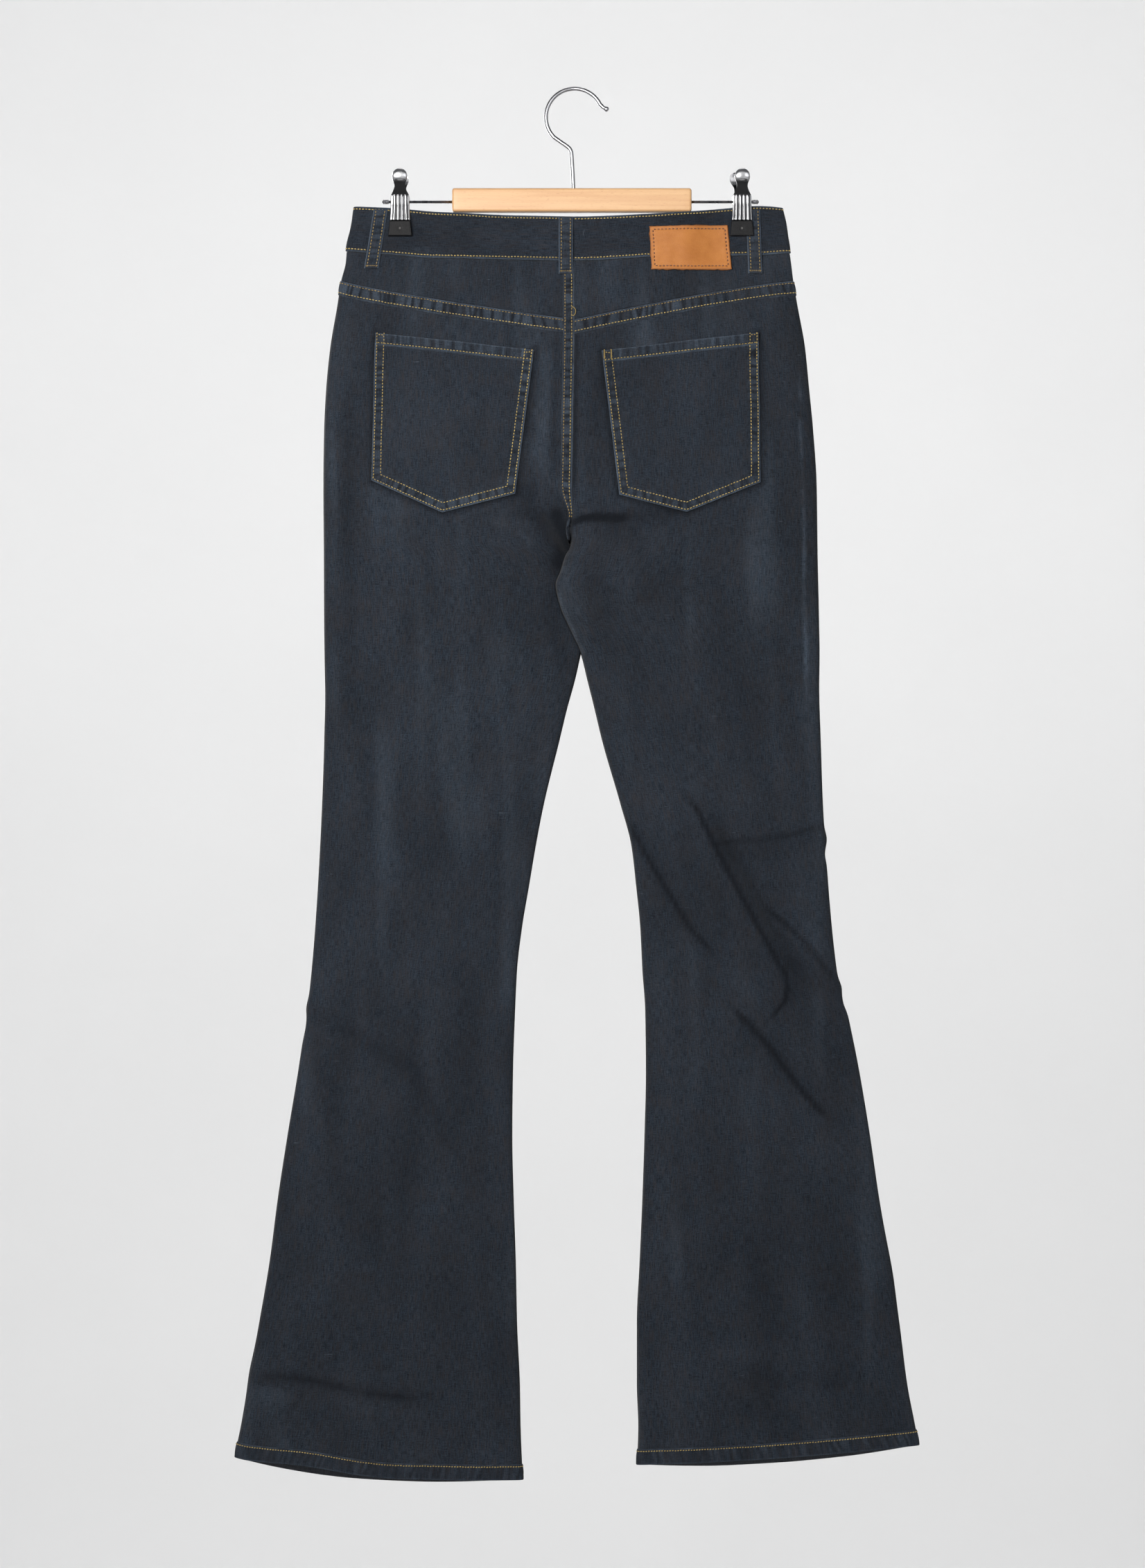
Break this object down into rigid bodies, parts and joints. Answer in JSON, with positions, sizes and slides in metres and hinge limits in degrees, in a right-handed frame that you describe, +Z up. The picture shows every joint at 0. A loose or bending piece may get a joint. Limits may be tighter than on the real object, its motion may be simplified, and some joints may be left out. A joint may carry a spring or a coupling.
{
  "type": "bootcut jeans on a clip hanger",
  "caption": "Dark denim bootcut jeans, hung flat by the waistband from a wood and steel clip hanger, with back pockets, belt loops and a bare leather patch.",
  "frame": {"origin": "inner top of the hanger's hook, where it rests on a rail", "axes": "+X to the right as seen from behind, the wearer's right; +Y from the back of the jeans to their front; +Z up"},
  "size_m": [0.5843, 0.0447, 1.1874],
  "materials": {
    "denim": "dark navy stretch denim, fine twill, matt",
    "leather": "tan, smooth, low sheen",
    "chromed_steel": "bright chromed wire and stamped sheet",
    "black_rubber": "soft black grip pads",
    "beech": "pale beech with a satin lacquer",
    "aged_brass": "antiqued, satin"
  },
  "bodies": {
    "root": {"back_panel_left": "denim", "back_panel_right": "denim", "back_pocket_left": "denim", "back_pocket_right": "denim", "clip_left_front_lever": "chromed_steel", "clip_left_front_pad": "black_rubber", "clip_left_rear_lever": "chromed_steel", "clip_left_rear_pad": "black_rubber", "clip_left_spring": "chromed_steel", "clip_right_front_lever": "chromed_steel", "clip_right_front_pad": "black_rubber", "clip_right_rear_lever": "chromed_steel", "clip_right_rear_pad": "black_rubber", "clip_right_spring": "chromed_steel", "front_panel_left": "denim", "front_panel_right": "denim", "hanger_bar": "beech", "hanger_hook": "chromed_steel", "hanger_rod": "chromed_steel", "leather_patch": "leather", "loop_back_centre": "denim", "loop_back_left": "denim", "loop_back_right": "denim", "loop_front_left": "denim", "loop_front_right": "denim", "pocket_facing_left": "denim", "pocket_facing_right": "denim", "waist_button": "aged_brass", "waistband_back": "denim", "waistband_front_left": "denim", "waistband_front_right": "denim", "yoke_left": "denim", "yoke_right": "denim"}
  },
  "joints": []
}
